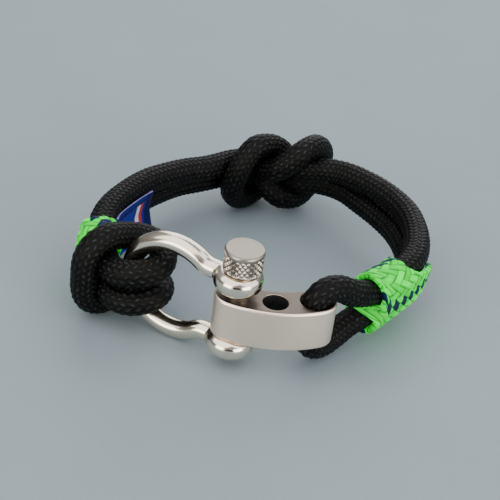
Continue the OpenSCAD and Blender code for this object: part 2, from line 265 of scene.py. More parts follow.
def braid_height(a, b):
    """Height from 0 to 1 of a braid whose strands go two over and two under. Its strands lie
    along whole numbers of a and of b."""
    i, j = np.round(a), np.round(b)
    phase = np.mod(i + j, 4)
    first_on_top = phase < 2
    mid_b = j + np.where(phase == 0, 0.5, -0.5)
    mid_a = i + np.where(phase == 2, 0.5, -0.5)
    across = np.where(first_on_top, a - i, b - j)
    along = np.where(first_on_top, b - mid_b, a - mid_a)
    own = np.where(first_on_top, stitch_noise(i, 2 * mid_b), stitch_noise(2 * mid_a, j))
    rounded = np.sqrt(np.clip(1 - (across / STITCH_HALF) ** 2, 0, 1))
    arched = np.cos(np.clip(along, -1, 1) * STITCH_ARCH * math.pi)
    return rounded * (STITCH_LOW + STITCH_RISE * arched) + STITCH_UNEVEN * own * rounded


def add_object(name, data):
    made = bpy.data.objects.new(name, data)
    bpy.context.scene.collection.objects.link(made)
    return made


def smooth_mesh(mesh):
    mesh.polygons.foreach_set("use_smooth", [True] * len(mesh.polygons))


def object_from(work, name):
    """Smooth object with what a bmesh holds; the bmesh is freed."""
    mesh = bpy.data.meshes.new(name)
    work.to_mesh(mesh)
    work.free()
    smooth_mesh(mesh)
    return add_object(name, mesh)


def new_mesh(name, points, faces, uv=None):
    """Mesh object from points in the part's millimetres; uv holds one pair for each face corner."""
    mesh = bpy.data.meshes.new(name)
    mesh.from_pydata((np.asarray(points) * MM).tolist(), [], faces)
    if uv is not None:
        layer = mesh.uv_layers.new(name="Lay")
        layer.data.foreach_set("uv", np.asarray(uv, np.float32).ravel())
    smooth_mesh(mesh)
    mesh.update()
    return add_object(name, mesh)


def grid_faces(rings, sides, closed_rings=False):
    """Quads between rings of points, each closed on itself; and each corner's ring and side number."""
    last = rings if closed_rings else rings - 1
    i, k = np.meshgrid(np.arange(last), np.arange(sides), indexing="ij")
    i, k = i.ravel(), k.ravel()
    i2, k2 = (i + 1) % rings, (k + 1) % sides
    quads = np.stack([i * sides + k, i * sides + k2, i2 * sides + k2, i2 * sides + k], axis=1)
    ring_no = np.stack([i, i, i + 1, i + 1], axis=1)
    side_no = np.stack([k, k + 1, k + 1, k], axis=1)
    return quads, ring_no, side_no


def end_caps(rings, sides):
    """The first and the last ring of a tube, each as one face that looks outward."""
    return [list(range(sides))[::-1], list(range((rings - 1) * sides, rings * sides))]


# Braid of the cord: strands each way round, length of a stitch, depth of its grooves and height of its
# stitches, and how far its middle line is softened.
CORD_STRANDS, CORD_STITCH = 16, 1.12
CORD_GROOVE, CORD_RELIEF = 0.32, 0.36
CORD_SOFTEN = 0.9


def braided_cord(name, points, start_span, sides, step):
    """Braided tube along a closed loop, cut at start_span inside a sleeve."""
    line = closed_line(points, start_span, step, CORD_SOFTEN)
    _, normals, sideways = curve_frames(line)
    far = far_along(line)
    turn = np.arange(sides) / sides
    a = CORD_STRANDS * turn[None, :] + far[:, None] / CORD_STITCH
    b = CORD_STRANDS * turn[None, :] - far[:, None] / CORD_STITCH
    radius = cord_radius(line)[:, None] - CORD_GROOVE + CORD_RELIEF * braid_height(a, b)
    angle = 2 * math.pi * turn
    rim = np.cos(angle)[None, :, None] * normals[:, None, :]
    rim = rim + np.sin(angle)[None, :, None] * sideways[:, None, :]
    surface = line[:, None, :] + radius[:, :, None] * rim + PIN_AXIS
    quads, ring_no, side_no = grid_faces(len(line), sides)
    uv_turn, uv_far = CORD_STRANDS * side_no / sides, far[ring_no] / CORD_STITCH
    uv = np.stack([uv_turn + uv_far, uv_turn - uv_far], axis=-1).reshape(-1, 2)
    uv = np.vstack([uv, np.zeros((2 * sides, 2))])
    return new_mesh(name, surface.reshape(-1, 3), quads.tolist() + end_caps(len(line), sides), uv)


def curve_at(points, spans):
    i = min(len(points) - 2, max(0, int(math.floor(spans))))
    a, d = points[max(i - 1, 0)], points[min(i + 2, len(points) - 1)]
    return curve_point(a, points[i], points[i + 1], d, spans - i)


def pair_section(upper, lower, spans):
    """Middle of two strands, half of the rise from the lower to the upper, and the direction to the
    right of one who looks along the run."""
    top, bottom = curve_at(upper, spans), curve_at(lower, spans)
    ahead = curve_at(upper, spans + 0.1) + curve_at(lower, spans + 0.1) - top - bottom
    rise, along = (top - bottom) / 2, unit(ahead)
    upright = rise - (rise @ along) * along
    return (top + bottom) / 2, upright, unit(np.cross(along, upright))


def sleeve_outline(sides, reach):
    """Even steps round two strands: distance sideways, which strand, height above its middle."""
    flat, half_turn = CORD_D, math.pi * reach
    half = []
    for k in range(sides // 2):
        far = 2 * (flat + half_turn) * k / sides
        if far < half_turn:
            half.append((math.cos(far / reach), 1.0, math.sin(far / reach)))
        else:
            half.append((-1.0, 1 - 2 * (far - half_turn) / flat, 0.0))
    return half + [(-side, -rank, -height) for side, rank, height in half]


# Braid of the sleeves: strands each way round, length of a stitch, height of the stitches, and the part
# of that height at which the wall is as thick as its name says.
SLEEVE_STRANDS, SLEEVE_STITCH = 18, 2.0
SLEEVE_RELIEF, SLEEVE_LEVEL = 0.3, 0.85
SLEEVE_SIDES, SLEEVE_RINGS, LINING_RINGS, LIP_RINGS = 180, 120, 12, 7
SLEEVE_INNER = CORD_D / 2 + SLEEVE_GAP
SLEEVE_OUTER = SLEEVE_INNER + SLEEVE_WALL
SLEEVE_MIDDLE, LIP_R, LIP_BULGE = (SLEEVE_INNER + SLEEVE_OUTER) / 2, SLEEVE_WALL / 2, 0.8
# How fast the skew between the strands fades with height, what the spin loses by the far end, how
# suddenly the twist fades, and the tongue's half height, length and fade.
GAP_FADE, SPIN_LOSS, TWIST_FADE = 1.6, 0.4, 7
TONGUE_HALF, TONGUE_LENGTH, TONGUE_FADE = 0.16, 0.12, 1.5


def sleeve_rings(spans):
    """Share of the length and reach of each ring: outside, far lip, lining and near lip."""
    bulge = LIP_BULGE * LIP_R / (CORD_D * spans)
    turns = [math.pi * k / LIP_RINGS for k in range(1, LIP_RINGS)]
    rings = [(share, SLEEVE_OUTER) for share in np.linspace(0, 1, SLEEVE_RINGS)]
    rings += [(1 + bulge * math.sin(t), SLEEVE_MIDDLE + LIP_R * math.cos(t)) for t in turns]
    rings += [(share, SLEEVE_INNER) for share in np.linspace(1, 0, LINING_RINGS)]
    return rings + [(-bulge * math.sin(t), SLEEVE_MIDDLE - LIP_R * math.cos(t)) for t in turns]


def end_skew(skew, top, wide, gap):
    return skew[0] * top + skew[1] * wide + skew[2] * gap


def braided_sleeve(name, upper, lower, start, end, near_skew, far_skew, spin, twist, tongue=(0, 0, 0)):
    """Braided tube round two strands, with a rounded lip at each end. An end's skew is what it gains at
    its top, at its right and between the strands, there on the left at the near end and on the right at
    the far end. Spin turns the braid, less towards the far end, and twist turns its near end too. The
    tongue is a flap at the near end's right, turned in: how far it reaches back, to the left and up."""
    rings, outline = sleeve_rings(end - start), sleeve_outline(SLEEVE_SIDES, SLEEVE_OUTER)
    stations = np.linspace(start, end, 20)
    middles = np.array([pair_section(upper, lower, spans)[0] for spans in stations])
    length = far_along(middles)[-1]
    headings = units(np.gradient(middles, axis=0))
    points, lattice = [], []
    for share, reach in rings:
        clear = min(1.0, max(0.0, share))
        near, at_far_end = max(0.0, 1 - 2 * clear), max(0.0, 2 * clear - 1)
        for k, (side, rank, height) in enumerate(outline):
            tall = (rank * CORD_D / 2 + height * SLEEVE_OUTER) / (2 * CORD_D)
            wide = side * SLEEVE_OUTER / CORD_D
            left_gap, right_gap = (max(0.0, hand * wide - GAP_FADE * abs(tall)) for hand in (-1, 1))
            spans = start + share * (end - start) + near * end_skew(near_skew, tall, wide, left_gap)
            spans += at_far_end * end_skew(far_skew, max(0.0, tall), wide, right_gap)
            middle, upright, across = pair_section(upper, lower, spans)
            up = unit(upright)
            ahead = np.array([np.interp(spans, stations, headings[:, axis]) for axis in range(3)])
            leaning = ahead @ (rank * upright + SLEEVE_OUTER * (height * up + side * across))
            far = (length * (spans - start) / (end - start) + leaning) / SLEEVE_STITCH
            turn = k / SLEEVE_SIDES + spin * (1 - SPIN_LOSS * clear) + twist * (1 - clear) ** TWIST_FADE
            a, b = SLEEVE_STRANDS * turn + far, SLEEVE_STRANDS * turn - far
            lattice.append((a, b))
            if reach > SLEEVE_MIDDLE:
                lift = SLEEVE_RELIEF * (float(braid_height(np.array(a), np.array(b))) - SLEEVE_LEVEL)
            else:
                lift = 0.0
            point = middle + rank * upright + (reach + lift) * (height * up + side * across) + PIN_AXIS
            if side == 1:
                flap = max(0.0, 1 - abs(tall) / TONGUE_HALF)
                flap *= max(0.0, 1 - clear / TONGUE_LENGTH) ** TONGUE_FADE
                point += flap * (tongue[2] * up - tongue[1] * across - tongue[0] * np.cross(up, across))
            points.append(point)
    quads, ring_no, side_no = grid_faces(len(rings), SLEEVE_SIDES, closed_rings=True)
    lattice = np.array(lattice).reshape(len(rings), SLEEVE_SIDES, 2)
    wrapped = lattice[ring_no % len(rings), side_no % SLEEVE_SIDES]
    wrapped[side_no == SLEEVE_SIDES] += SLEEVE_STRANDS
    return new_mesh(name, points, quads[:, ::-1].tolist(), wrapped[:, ::-1].reshape(-1, 2))


LABEL_START, LABEL_END, LABEL_RINGS = 1.7, 4.3, 61
LABEL_T, LABEL_DROP, LABEL_SPREAD = 0.36, 3.0, 0.66
LABEL_R = CORD_D / 2 + 0.25 + LABEL_T / 2
LABEL_HEM, HEM_FOLD, RIM_BULGE = 1.3, 0.12, 0.12
# Columns: to the outside and up from the middle of the strand that the label is folded round.
LABEL_CREST = np.array([
    (LABEL_R, 0),
    (3.12, 1.1),
    (3.32, 2.3),
    (3.56, 3.55),
    (3.56, 3.86),
    (3.42, 3.5),
    (3.2, 3.0),
    (2.6, 2.6),
    (1.6, 2.45),
    (0.8, 2.82),
])
# The crest leans out and rises towards its front, more and less along the label, and the whole label is
# slanted and slid along the strand.
FRONT_FROM, FRONT_WIDE = 1.0, 2.2
LEAN_OUT, LEAN_GAIN, RISE_UP, RISE_LOSS = 0.065, 0.22, 0.62, 0.3
LABEL_SLANT, LABEL_SLIDE = 0.2, 1.4


def label_profile():
    """Closed outline round the strand: the crest, the back, and the two layers that hang under it."""
    crest_far = far_along(LABEL_CREST)
    even = np.linspace(0, crest_far[-1], 26)
    profile = [[np.interp(t, crest_far, LABEL_CREST[:, axis]) for axis in (0, 1)] for t in even]
    arc = [math.radians(225 * k / 40) for k in range(41)]
    profile += [(LABEL_R * math.cos(t), LABEL_R * math.sin(t)) for t in arc if t > math.radians(77)]
    drop = [k / 14 for k in range(1, 15)]
    left, right, foot = profile[-1], profile[0], -LABEL_R - LABEL_DROP
    inner_x = right[0] - LABEL_SPREAD
    profile += [(left[0] + (inner_x - left[0]) * t, left[1] + (foot - left[1]) * t) for t in drop]
    profile += [(right[0] - LABEL_SPREAD / 2, foot - 0.3)]
    profile += [(right[0], right[1] + (foot - right[1]) * t) for t in drop[::-1]]
    return np.array(profile)


def ribbon_label(name):
    """Ribbon folded round the lower left strand. Also gives its flat size, a function for places on it,
    and how far along it each of its rings lies."""
    profile = label_profile()
    count = len(profile)
    ahead = units(np.roll(profile, -1, axis=0) - np.roll(profile, 1, axis=0))
    normal = np.stack([ahead[:, 1], -ahead[:, 0]], axis=1)
    round_far = far_along(profile)
    round_total = round_far[-1] + np.linalg.norm(profile[0] - profile[-1])
    stations = np.linspace(LABEL_START, LABEL_END, LABEL_RINGS)
    middles = [curve_at(LEFT_LOWER, spans) for spans in stations]
    far = far_along(middles)
    sections = []
    for spans, middle in zip(stations, middles):
        along = unit(curve_at(LEFT_LOWER, spans + 0.1) - middle)
        sideways = unit(np.cross(along, UPRIGHT))
        sections.append((middle, along, sideways, np.cross(sideways, along)))

    def place(i, k, out, push=0.0):
        """Place at ring i and outline point k, out from the ribbon's middle and pushed along it."""
        middle, along, sideways, up = sections[i]
        x, y = profile[k % count] + out * normal[k % count]
        share = far[i] / far[-1]
        if y > 0:
            front = min(1.0, max(0.0, (x - FRONT_FROM) / FRONT_WIDE))
            x += front * (LEAN_OUT + LEAN_GAIN * share) * y
            y *= 1 + front * (RISE_UP - RISE_LOSS * share)
        return middle + x * sideways + y * up + (push - LABEL_SLANT * y - LABEL_SLIDE) * along + PIN_AXIS

    last, points, lay = LABEL_RINGS - 1, [], []
    rows = [(i, 1) for i in range(LABEL_RINGS)] + [(last, 0)]
    rows += [(i, -1) for i in range(last, -1, -1)] + [(0, 0)]
    for i, wall in rows:
        from_edge = min(far[i], far[-1] - far[i])
        folded = HEM_FOLD * min(1.0, max(0.0, (LABEL_HEM - from_edge) / HEM_FOLD)) if wall > 0 else 0.0
        push = 0.0 if wall else (RIM_BULGE if i else -RIM_BULGE)
        for k in range(count):
            points.append(place(i, k, wall * LABEL_T / 2 + folded, push))
            lay.append((far[i], round_far[k]))
    quads, ring_no, side_no = grid_faces(len(rows), count, closed_rings=True)
    lay = np.array(lay).reshape(len(rows), count, 2)
    uv = lay[ring_no % len(rows), side_no % count]
    uv[side_no == count, 1] = round_total
    ribbon = new_mesh(name, points, quads[:, ::-1].tolist(), uv[:, ::-1].reshape(-1, 2))
    return ribbon, far[-1], round_total, place, far


def swept_rod(name, line, radius, sides, across):
    """Round rod along a line that lies in the plane square to across, with a flat face at each end."""
    tangents = units(np.gradient(line, axis=0))
    points = []
    for p, t in zip(line, tangents):
        up = np.cross(t, across)
        for k in range(sides):
            angle = 2 * math.pi * k / sides
            points.append(p + radius * (math.cos(angle) * across + math.sin(angle) * up) + PIN_AXIS)
    quads, _, _ = grid_faces(len(line), sides)
    return new_mesh(name, points, quads.tolist() + end_caps(len(line), sides))


def lathe(name, profile, sides, centre):
    """Turned solid from a list of (radius, height)."""
    turns = [2 * math.pi * k / sides for k in range(sides)]
    points = [[r * math.cos(angle), r * math.sin(angle), z] for r, z in profile for angle in turns]
    quads, _, _ = grid_faces(len(profile), sides)
    return new_mesh(name, np.array(points) + centre, quads.tolist() + end_caps(len(profile), sides))


def quarter(first, steps):
    """Cosines and sines of even steps through a quarter turn, from an angle in degrees."""
    turns = [math.radians(first + 90 * k / steps) for k in range(steps + 1)]
    return [(math.cos(t), math.sin(t)) for t in turns]


EAR_D, EAR_T, EAR_SHIFT, EAR_FILLET = 8.8, 4.0, 0.5, 1.85
PIN_D, ROD_D, PIN_PLAY = 4.0, 3.5, 0.08
KNOB_R, KNOB_H = 3.5, 4.3
EAR_LOW_Z = BAR_MID_Z - BAR_HEIGHT / 2 - 0.1 - EAR_T
EAR_HIGH_Z = 2 * BOW_MID_Z - EAR_LOW_Z - EAR_T
SHAFT_LOW_Z, KNOB_LOW_Z = EAR_LOW_Z + 0.2, EAR_HIGH_Z + EAR_T + 0.2
# Radius of the bow's reverse bend, and height of the rod there over the bow's middle.
NECK_R, NECK_Z = 4.0, 6.7


def bow_line():
    """Middle line of the bow's rod, from inside one ear round to the other."""
    reach = BOW_REACH - math.sqrt((BOW_R + NECK_R) ** 2 - (NECK_Z + NECK_R) ** 2)
    bend = math.acos((NECK_Z + NECK_R) / (BOW_R + NECK_R))
    half = [(x, NECK_Z) for x in np.linspace(0.0, reach, 8)[:-1]]
    for t in np.linspace(0, bend, 14)[:-1]:
        half.append((reach + NECK_R * math.sin(t), NECK_Z + NECK_R - NECK_R * math.cos(t)))
    for t in np.linspace(math.pi / 2 + bend, 0, 60)[:-1]:
        half.append((BOW_REACH + BOW_R * math.cos(t), BOW_R * math.sin(t)))
    whole = half + [(BOW_REACH + BOW_R, 0.0)] + [(x, -z) for x, z in half[::-1]]
    return np.array([x * BOW_DIR + np.array([0, 0, BOW_MID_Z + z]) for x, z in whole])


def ear_profile(low_z):
    r, low, high = EAR_D / 2 - EAR_FILLET, low_z + EAR_FILLET, low_z + EAR_T - EAR_FILLET
    rows = [(r + EAR_FILLET * c, low + EAR_FILLET * s) for c, s in quarter(-90, 8)]
    return rows + [(r + EAR_FILLET * c, high + EAR_FILLET * s) for c, s in quarter(0, 8)]


def modify(piece, kind, **values):
    """Adds a modifier with these settings and applies it."""
    change = piece.modifiers.new(kind, kind)
    for key, value in values.items():
        setattr(change, key, value)
    graph = bpy.context.evaluated_depsgraph_get()
    mesh = bpy.data.meshes.new_from_object(piece.evaluated_get(graph))
    piece.modifiers.clear()
    piece.data = mesh


def join_pieces(pieces, name):
    """One object from several, which are removed."""
    joined = bmesh.new()
    for piece in pieces:
        joined.from_mesh(piece.data)
    for piece in pieces:
        bpy.data.objects.remove(piece)
    return object_from(joined, name)


PART_VOXEL, SKIN_VOXEL = 0.13 * MM, 0.14 * MM


def forged_bow(name):
    """Rod and ears run into one skin, as forged and polished, then bored for the pin."""
    rod = swept_rod("rod", bow_line(), ROD_D / 2, 40, np.cross(BOW_DIR, UPRIGHT))
    ear_place = PIN_AXIS + EAR_SHIFT * BOW_DIR
    ears = [lathe("ear", ear_profile(z), 96, ear_place) for z in (EAR_LOW_Z, EAR_HIGH_Z)]
    for piece in [rod] + ears:
        modify(piece, "REMESH", mode="VOXEL", voxel_size=PART_VOXEL)
    bow = join_pieces([rod] + ears, name)
    modify(bow, "REMESH", mode="VOXEL", voxel_size=SKIN_VOXEL, use_smooth_shade=True)
    modify(bow, "SMOOTH", factor=0.5, iterations=14)
    drill = lathe("drill", [(PIN_D / 2 + PIN_PLAY, z) for z in (-2.0, 26.0)], 96, PIN_AXIS)
    modify(bow, "BOOLEAN", object=drill, operation="DIFFERENCE", solver="EXACT")
    bpy.data.objects.remove(drill)
    smooth_mesh(bow.data)
    bow.data.set_sharp_from_angle(angle=math.radians(40))
    return bow


# Columns: in from the shaft's or the knob's radius, up from its foot or down from its top.
SHAFT_FOOT = [(PIN_D / 2, 0), (0.35, 0), (0.33, 0.01), (0.02, 0.33), (0, 0.37)]
KNOB_FOOT = [(0.37, 0), (0.33, 0.02), (0.06, 0.28)]
KNOB_TOP = [(0.55, 0.03), (0.7, 0.05), (0.6 * KNOB_R, 0), (KNOB_R, 0)]
KNOB_ROUND = 0.4
KNURL_DIAMONDS, KNURL_EDGE, KNURL_DEEP, KNURL_WIDE, KNURL_FADE = 20, 0.04, 0.24, 0.34, 0.2
KNURL_LOW, KNURL_HIGH = KNOB_LOW_Z + 0.3, KNOB_LOW_Z + KNOB_H - 0.75


def knurl_cut(turn, z):
    """Depth of the crossed grooves of the knurl at a turn round the knob and a height."""
    rise = (z - KNURL_LOW) * KNURL_DIAMONDS / (2 * math.pi * KNOB_R)
    u, v = turn * KNURL_DIAMONDS + rise, turn * KNURL_DIAMONDS - rise
    ridge = min(abs(u - round(u)), abs(v - round(v)))
    fade = max(0.0, min(1.0, (z - KNURL_LOW) / KNURL_FADE, (KNURL_HIGH - z) / KNURL_FADE))
    return KNURL_EDGE + KNURL_DEEP * max(0.0, 1 - ridge / KNURL_WIDE) * fade


def knurled_pin(name):
    """Plain shaft and a knob with a diamond knurl cut into its side."""
    shaft_r, top, sides = PIN_D / 2, KNOB_LOW_Z + KNOB_H, 240
    rows = [(shaft_r - inset, SHAFT_LOW_Z + rise) for inset, rise in SHAFT_FOOT]
    rows += [(shaft_r, z) for z in np.linspace(SHAFT_LOW_Z + 0.8, KNOB_LOW_Z - 0.25, 6)]
    rows += [(shaft_r + 0.05, KNOB_LOW_Z - 0.08), (shaft_r + 0.15, KNOB_LOW_Z)]
    rows += [(KNOB_R - inset, KNOB_LOW_Z + rise) for inset, rise in KNOB_FOOT]
    rows += [(KNOB_R, z) for z in np.linspace(KNURL_LOW, KNURL_HIGH, 40)]
    edge_r, edge_z = KNOB_R - KNOB_ROUND - 0.02, top - KNOB_ROUND - 0.02
    rows += [(KNOB_R - 0.02, KNURL_HIGH + 0.06), (KNOB_R - 0.02, edge_z)]
    rows += [(edge_r + KNOB_ROUND * c, edge_z + KNOB_ROUND * s) for c, s in quarter(0, 6)]
    rows += [(KNOB_R - inset, top - drop) for inset, drop in KNOB_TOP]
    points = []
    for r, z in rows:
        knurled = r == KNOB_R
        for k in range(sides):
            reach = r - knurl_cut(k / sides, z) if knurled else r
            angle = 2 * math.pi * k / sides
            points.append([reach * math.cos(angle), reach * math.sin(angle), z])
    quads, _, _ = grid_faces(len(rows), sides)
    pin = new_mesh(name, np.array(points) + PIN_AXIS, quads.tolist())
    weld = bmesh.new()
    weld.from_mesh(pin.data)
    bmesh.ops.remove_doubles(weld, verts=weld.verts, dist=1e-7)
    weld.to_mesh(pin.data)
    weld.free()
    smooth_mesh(pin.data)
    pin.data.set_sharp_from_angle(angle=math.radians(38))
    return pin


def bar_outline(inset, steps=20, arc_steps=44):
    """Plan outline of the bar, inset from its full size."""
    half = BAR_THICKNESS / 2 - inset
    first = BAR_TURN - 90 - HOLE_ANGLE - math.degrees(math.asin(PIN_END / BAR_BEND_R))
    last = BAR_TURN - 90 + HOLE_ANGLE + math.degrees(math.asin(CORD_END / BAR_BEND_R))
    first_end, last_end = (BAR_BEND_MID + BAR_BEND_R * plan_dir(t) for t in (first, last))
    arcs = [
        (BAR_BEND_MID, BAR_BEND_R + half, np.linspace(first, last, arc_steps)),
        (last_end, half, last + np.linspace(0, 180, steps)[1:-1]),
        (BAR_BEND_MID, BAR_BEND_R - half, np.linspace(last, first, arc_steps)),
        (first_end, half, first + np.linspace(180, 360, steps)[1:-1]),
    ]
    return np.array([middle + r * plan_dir(t) for middle, r, turns in arcs for t in turns])


BAR_EDGE, HOLE_LIP = 0.5, 0.16


def polished_bar(name):
    """Curved bar with rounded edges and three holes whose lips are broken."""
    half_h, up_to_edge = BAR_HEIGHT / 2, BAR_HEIGHT / 2 - BAR_EDGE
    loops = [(BAR_EDGE * (1 - s), -up_to_edge - BAR_EDGE * c) for c, s in quarter(0, 8)]
    loops += [(0.0, z) for z in np.linspace(-up_to_edge, up_to_edge, 6)[1:-1]]
    loops += [(BAR_EDGE * (1 - s), up_to_edge - BAR_EDGE * c) for c, s in quarter(90, 8)]
    work = bmesh.new()

    def ring(points, z):
        places = [(p + PIN_AXIS + np.array([0, 0, z + BAR_MID_Z])) * MM for p in points]
        return [work.verts.new(place) for place in places]

    def wall(lower, upper):
        n = len(lower)
        for k in range(n):
            work.faces.new([lower[k], lower[(k + 1) % n], upper[(k + 1) % n], upper[k]])

    outer = [ring(bar_outline(inset), z) for inset, z in loops]
    for low, high in zip(outer[:-1], outer[1:]):
        wall(low, high)
    open_loops = {-1: [outer[0]], 1: [outer[-1]]}
    for i, r in [(0, PIN_D / 2 + PIN_PLAY), (SPARE_HOLE, SPARE_R), (2, CORD_HOLE_R)]:
        centre = hole_place(i)
        rows = [(r + HOLE_LIP * (1 - s), -half_h + HOLE_LIP * (1 - c)) for c, s in quarter(0, 4)]
        rows += [(r + HOLE_LIP * (1 - s), half_h - HOLE_LIP * (1 + c)) for c, s in quarter(90, 4)]
        circle = [plan_dir(360 * k / 72) for k in range(72)]
        rings = [ring([centre + radius * p for p in circle], z) for radius, z in rows]
        for low, high in zip(rings[:-1], rings[1:]):
            wall(high, low)
        open_loops[-1].append(rings[0])
        open_loops[1].append(rings[-1])
    for side in (-1, 1):
        pairs = [pair for loop in open_loops[side] for pair in zip(loop, loop[1:] + loop[:1])]
        edges = [work.edges.get(pair) for pair in pairs]
        bmesh.ops.triangle_fill(work, use_beauty=True, use_dissolve=False, edges=edges, normal=(0, 0, side))
    bmesh.ops.recalc_face_normals(work, faces=work.faces)
    bar = object_from(work, name)
    even = bar.modifiers.new("even", "WEIGHTED_NORMAL")
    even.keep_sharp, even.weight = False, 100
    return bar


# Distance between the label's stitches, how far they stand out, and half of their size each way.
SEAM_STEP, SEAM_OUT = 0.8, 0.27
SEAM_HALVES = (0.26 * MM, 0.11 * MM, 0.09 * MM, 1)


def label_stitching(name, label_far, place, row):
    """Small raised stitches along the ribbon's upper hem, as one mesh."""
    stitches = bmesh.new()
    for far in np.arange(0.5, label_far[-1] - 0.6, SEAM_STEP):
        i = int(np.argmin(np.abs(label_far - far)))
        a, b = place(i, row, SEAM_OUT), place(i + 1, row, SEAM_OUT)
        along = unit(b - a)
        made = bmesh.ops.create_uvsphere(stitches, u_segments=10, v_segments=8, radius=1.0)
        turn = Vector(along).to_track_quat("X", "Z").to_matrix().to_4x4()
        size = Matrix.Diagonal(SEAM_HALVES)
        spot = Matrix.Translation(Vector((a + 0.2 * along) * MM))
        bmesh.ops.transform(stitches, verts=made["verts"], matrix=spot @ turn @ size)
    return object_from(stitches, name)


class Nodes:
    """Short calls for building a node tree."""

    def __init__(self, tree):
        self.tree = tree

    def add(self, kind, **values):
        node = self.tree.nodes.new(kind)
        for key, value in values.items():
            setattr(node, key, value)
        return node

    def link(self, source, target):
        self.tree.links.new(source, target)

    def put(self, value, socket):
        if isinstance(value, bpy.types.NodeSocket):
            self.link(value, socket)
        else:
            socket.default_value = value

    def feed(self, node, **values):
        """Links or sets the node's inputs by name, and gives its outputs."""
        for key, value in values.items():
            self.put(value, node.inputs[key])
        return node.outputs

    def fill(self, node, *values):
        """Links or sets the node's inputs in their order, and gives its first output."""
        for value, socket in zip(values, node.inputs):
            self.put(value, socket)
        return node.outputs[0]

    def math(self, operation, *values):
        return self.fill(self.add("ShaderNodeMath", operation=operation), *values)

    def plus(self, a, b):
        return self.math("ADD", a, b)

    def minus(self, a, b):
        return self.math("SUBTRACT", a, b)

    def times(self, a, b):
        return self.math("MULTIPLY", a, b)

    def over(self, value, limit):
        return self.math("GREATER_THAN", value, limit)

    def under(self, value, limit):
        return self.math("LESS_THAN", value, limit)

    def between(self, value, low, high):
        return self.times(self.over(value, low), self.under(value, high))

    def wrapped(self, value, period):
        """Signed distance from the nearest whole multiple of the period."""
        moved = self.math("FLOORED_MODULO", self.plus(value, period / 2), period)
        return self.minus(moved, period / 2)

    def mix(self, share, first, second):
        node = self.add("ShaderNodeMix", data_type="RGBA")
        self.put(share, node.inputs["Factor"])
        for value, socket in ((first, node.inputs[6]), (second, node.inputs[7])):
            self.put(value if isinstance(value, bpy.types.NodeSocket) else (*value, 1), socket)
        return node.outputs[2]

    def noise(self, vector, scale, detail=2.0, rough=0.5):
        node = self.add("ShaderNodeTexNoise")
        return self.feed(node, Vector=vector, Scale=scale, Detail=detail, Roughness=rough)["Fac"]

    def span(self, value, low, high, out_low=0.0, out_high=1.0):
        return self.fill(self.add("ShaderNodeMapRange"), value, low, high, out_low, out_high)

    def vector(self, x, y, z):
        return self.fill(self.add("ShaderNodeCombineXYZ"), x, y, z)

    def split(self, vector):
        node = self.add("ShaderNodeSeparateXYZ")
        self.link(vector, node.inputs[0])
        return node.outputs

    def place(self, kind="Object"):
        return self.add("ShaderNodeTexCoord").outputs[kind]

    def bump(self, height, strength, distance):
        node = self.add("ShaderNodeBump")
        return self.feed(node, Height=height, Strength=strength, Distance=distance)["Normal"]


def node_group(name, inputs, outputs):
    """New shader node group; each socket is a value, but a Normal is a vector."""
    tree = bpy.data.node_groups.new(name, "ShaderNodeTree")
    for labels, way in ((inputs, "INPUT"), (outputs, "OUTPUT")):
        for label in labels:
            kind = "NodeSocketVector" if label == "Normal" else "NodeSocketFloat"
            tree.interface.new_socket(label, in_out=way, socket_type=kind)
    nodes = Nodes(tree)
    return nodes, nodes.add("NodeGroupInput"), nodes.add("NodeGroupOutput")


def stitch_group():
    """Finds which stitch of a two over, two under braid a place lies on."""
    n, given, out = node_group("Braid stitches", ["First", "Second"],
                               ["Across", "Along", "Stitch tone", "Fibre"])
    a, b = given.outputs[:2]
    i, j = (n.math("FLOOR", n.plus(value, 0.5)) for value in (a, b))
    phase = n.math("FLOORED_MODULO", n.plus(n.plus(i, j), 0.1), 4.0)
    first_on_top = n.under(phase, 2.0)
    pick_first = n.under(phase, 1.0)
    pick_third = n.between(phase, 2.0, 3.0)
    mid_b = n.plus(j, n.minus(pick_first, 0.5))
    mid_a = n.plus(i, n.minus(pick_third, 0.5))

    def pick(first, second):
        node = n.add("ShaderNodeMix", data_type="FLOAT")
        for value, number in ((first_on_top, 0), (second, 2), (first, 3)):
            n.put(value, node.inputs[number])
        return node.outputs[0]

    across = pick(n.minus(a, i), n.minus(b, j))
    along = pick(n.minus(b, mid_b), n.minus(a, mid_a))
    white = n.add("ShaderNodeTexWhiteNoise", noise_dimensions="3D")
    tone = n.feed(white, Vector=n.vector(pick(i, mid_a), pick(mid_b, j), first_on_top))["Value"]
    lengthwise = n.vector(n.times(across, 9.0), along, n.times(tone, 30.0))
    fibre = n.noise(lengthwise, 1.6, 3.0, 0.6)
    n.feed(out, **{"Across": across, "Along": along, "Stitch tone": tone, "Fibre": fibre})
    return n.tree


def handling_group():
    """Fine polishing lines, faint scratches and finger marks of handled metal."""
    n, given, out = node_group("Handled metal", ["Roughness", "Wear"], ["Roughness", "Tone", "Normal"])
    place = n.place()
    smudge = n.noise(place, 160.0, 3.0, 0.55)
    stretched = n.feed(n.add("ShaderNodeMapping"), Vector=place, Scale=(1.0, 5.0, 14.0),
                       Rotation=(0.3, 0.5, 0.9))[0]
    lines = n.noise(stretched, 900.0, 4.0, 0.7)
    wear = n.times(given.outputs["Wear"], n.minus(smudge, 0.5))
    scratch = n.span(lines, 0.66, 0.74, 0.0, 0.09)
    total = n.plus(given.outputs["Roughness"], n.plus(wear, scratch))
    n.feed(out, Roughness=n.math("MAXIMUM", total, 0.03), Tone=n.span(smudge, 0.3, 0.7, 0.94, 1.0),
           Normal=n.bump(lines, 0.06, 0.00002))
    return n.tree


STITCHES, HANDLED = stitch_group(), handling_group()


def material(name):
    made = bpy.data.materials.new(name)
    made.use_nodes = True
    nodes = Nodes(made.node_tree)
    return made, nodes, made.node_tree.nodes["Principled BSDF"]


def use_group(n, tree, **values):
    return n.feed(n.add("ShaderNodeGroup", node_tree=tree), **values)


